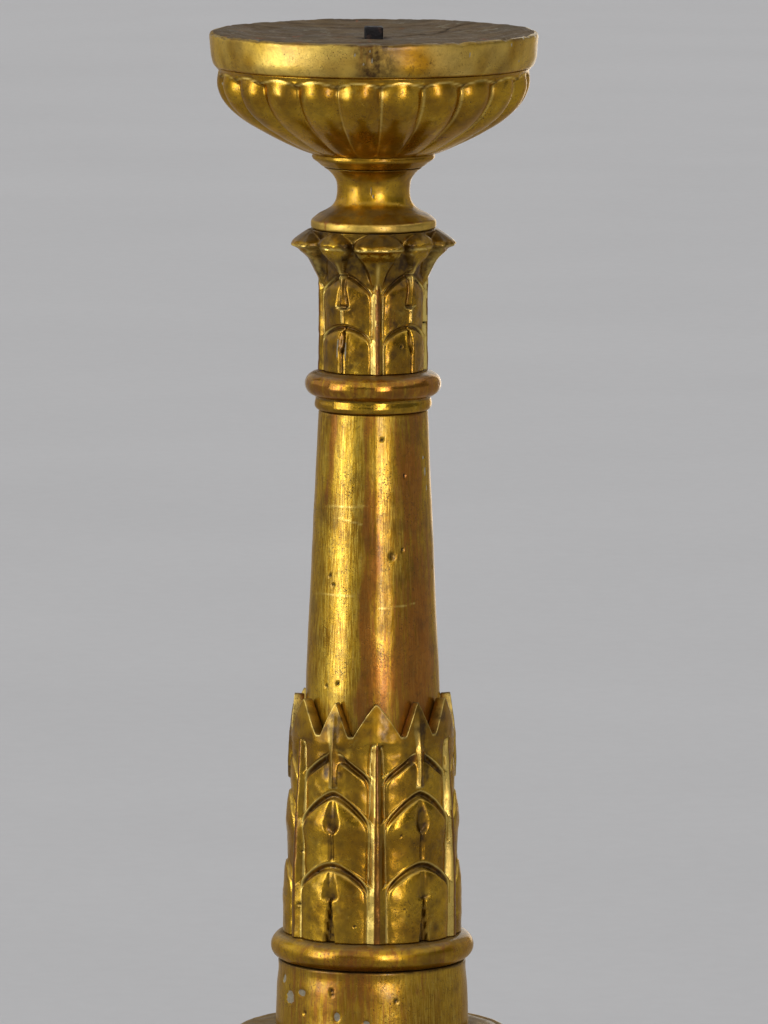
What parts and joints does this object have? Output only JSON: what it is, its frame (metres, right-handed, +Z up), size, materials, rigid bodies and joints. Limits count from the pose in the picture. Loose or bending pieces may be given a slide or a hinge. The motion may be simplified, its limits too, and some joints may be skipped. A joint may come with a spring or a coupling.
{
  "type": "altar candlestick",
  "caption": "Giltwood altar candlestick: gadrooned pricket pan on a leaf-carved column, with a three-sided pedestal on lion-paw feet.",
  "frame": {"origin": "middle of the outline seen from above, on the surface that the feet stand on; the spindle axis is 14.5 mm in front of it, at x = 0, y = -0.0145 m", "axes": "+Z up along the spindle, -Y the front, towards the middle of one side of the pedestal; one corner and its foot point to +Y"},
  "size_m": [0.2196, 0.209, 0.7625],
  "materials": {
    "gilding": "burnished gold leaf on red clay and gesso over carved wood, worn",
    "bare_wood": "ungilded wood, grey with age, dust and wax",
    "iron": "hand-forged iron, dark and dull"
  },
  "bodies": {
    "root": {"pricket_tang": "iron", "drip_pan": "gilding", "gadroon_bowl": "gilding", "neck": "gilding", "capital": "gilding", "upper_ring": "gilding", "column": "gilding", "leaf_sleeve": "gilding", "lower_ring": "gilding", "drum": "gilding", "base_disc": "gilding", "base_collar": "gilding", "plinth": "gilding", "bottom_board": "gilding", "paw_foot_rear": "gilding", "paw_foot_left": "gilding", "paw_foot_right": "gilding", "foot_dowel_rear": "bare_wood", "foot_dowel_left": "bare_wood", "foot_dowel_right": "bare_wood", "rosette_front": "gilding", "rosette_rear_right": "gilding", "rosette_rear_left": "gilding", "board_nail_front": "iron", "board_nail_rear_right": "iron", "board_nail_rear_left": "iron"}
  },
  "joints": []
}
